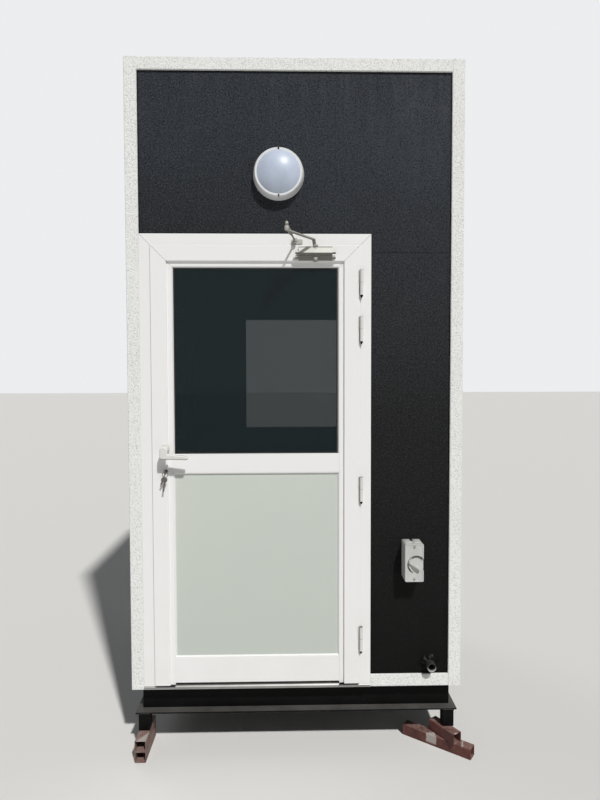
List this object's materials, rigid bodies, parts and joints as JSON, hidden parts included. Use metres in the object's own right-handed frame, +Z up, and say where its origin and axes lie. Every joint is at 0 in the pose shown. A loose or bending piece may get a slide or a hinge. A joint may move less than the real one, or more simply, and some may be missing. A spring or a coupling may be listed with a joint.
{
  "type": "security guard booth",
  "caption": "Square guard booth of white rim posts and black boards, with a glazed white door, windows, light, isolator and a skid base on packer tubes.",
  "frame": {"origin": "on the ground, at the middle of the whole booth's bounding box in plan", "axes": "+X to the right seen from the front, +Y from the door towards the back wall, +Z up"},
  "size_m": [1.606, 1.7984, 3.113],
  "materials": {
    "white_rim_paint": "white textured coating, matt",
    "black_board_coating": "black stipple coating, matt",
    "window_frame_black": "black powder coat",
    "tinted_glass": "grey tinted float glass",
    "floor_vinyl": "grey sheet vinyl on board",
    "black_skid_paint": "black enamel, brushed on",
    "red_oxide_primer": "red oxide primer, dusty, with white paint marks",
    "white_door_profile": "smooth white profile, low gloss",
    "white_hardware": "white powder coat, satin",
    "mill_aluminium": "mill finish",
    "closer_silver": "silver-beige closer paint",
    "grey_green_panel": "pale grey-green infill panel, matt",
    "black_gasket": "black glazing gasket",
    "light_white_plastic": "white moulded plastic",
    "light_diffuser_opal": "pale bluish opal diffuser, unlit",
    "isolator_grey_plastic": "light grey moulded plastic",
    "pipe_grey_plastic": "grey plastic pipe",
    "key_steel": "nickel plated, worn"
  },
  "bodies": {
    "booth": {"front_corner_posts": "white_rim_paint", "back_corner_posts": "white_rim_paint", "top_rails": "white_rim_paint", "bottom_rails": "white_rim_paint", "front_board_upper": "black_board_coating", "front_board_lower": "black_board_coating", "back_board_over_window": "black_board_coating", "back_board_under_window": "black_board_coating", "back_boards_beside_window": "black_board_coating", "side_boards_over_windows": "black_board_coating", "side_boards_under_windows": "black_board_coating", "side_boards_beside_windows": "black_board_coating", "back_window_frame": "window_frame_black", "left_window_frame": "window_frame_black", "right_window_frame": "window_frame_black", "window_panes": "tinted_glass", "roof_panel": "white_rim_paint", "floor_deck": "floor_vinyl", "front_back_skid_channels": "black_skid_paint", "side_skid_channels": "black_skid_paint", "floor_joists": "black_skid_paint", "leg_stubs": "black_skid_paint", "lower_packer_tubes": "red_oxide_primer", "upper_packer_tubes": "red_oxide_primer", "door_frame_jambs": "white_door_profile", "door_frame_head": "white_door_profile", "threshold": "mill_aluminium", "frame_hinge_halves": "white_hardware", "closer_shoe": "closer_silver", "light_housing": "light_white_plastic", "light_diffuser": "light_diffuser_opal", "isolator_box": "isolator_grey_plastic", "cable_pipe": "pipe_grey_plastic"},
    "door": {"leaf_stiles": "white_door_profile", "leaf_top_rail": "white_door_profile", "leaf_mid_rail": "white_door_profile", "leaf_bottom_rail": "white_door_profile", "glazing_beads": "white_door_profile", "glazing_gaskets": "black_gasket", "door_glass": "tinted_glass", "door_lower_panel": "grey_green_panel", "leaf_hinge_halves": "white_hardware", "handle_roses": "white_hardware", "lock_cylinder": "key_steel", "keys": "key_steel", "closer_body": "closer_silver"},
    "lever": {"lever_handles": "white_hardware"},
    "main_arm": {"closer_main_arm": "closer_silver"},
    "forearm": {"closer_forearm": "closer_silver"},
    "knob": {"isolator_knob": "isolator_grey_plastic"}
  },
  "joints": [
    {"name": "door_hinge", "type": "hinge", "parent": "booth", "child": "door", "pos_m": [0.291, -0.70276, 1.308], "axis": [0, 0, 1], "range_deg": [0, 95], "stiffness_Nm_per_rad": 8, "springref_deg": -45.84},
    {"name": "lever_turn", "type": "hinge", "parent": "door", "child": "lever", "pos_m": [-0.582, -0.69476, 1.394], "axis": [0, 1, 0], "range_deg": [0, 40], "stiffness_Nm_per_rad": 0.8, "springref_deg": -34.38},
    {"name": "closer_spindle", "type": "hinge", "parent": "door", "child": "main_arm", "pos_m": [0.086, -0.71476, 2.313], "axis": [0, 0, 1], "range_deg": [-166, 0]},
    {"name": "shoe_pivot", "type": "hinge", "parent": "booth", "child": "forearm", "pos_m": [-0.004, -0.71176, 2.314], "axis": [0, 0, 1], "range_deg": [0, 53]},
    {"name": "isolator_switch", "type": "hinge", "parent": "booth", "child": "knob", "pos_m": [0.529, -0.68676, 0.884], "axis": [0, -1, 0], "range_deg": [-45, 45]}
  ],
  "couplings": [
    {"joint": "closer_spindle", "follows": "door_hinge", "ratio": -1.7308},
    {"joint": "shoe_pivot", "follows": "door_hinge", "ratio": 0.545}
  ]
}
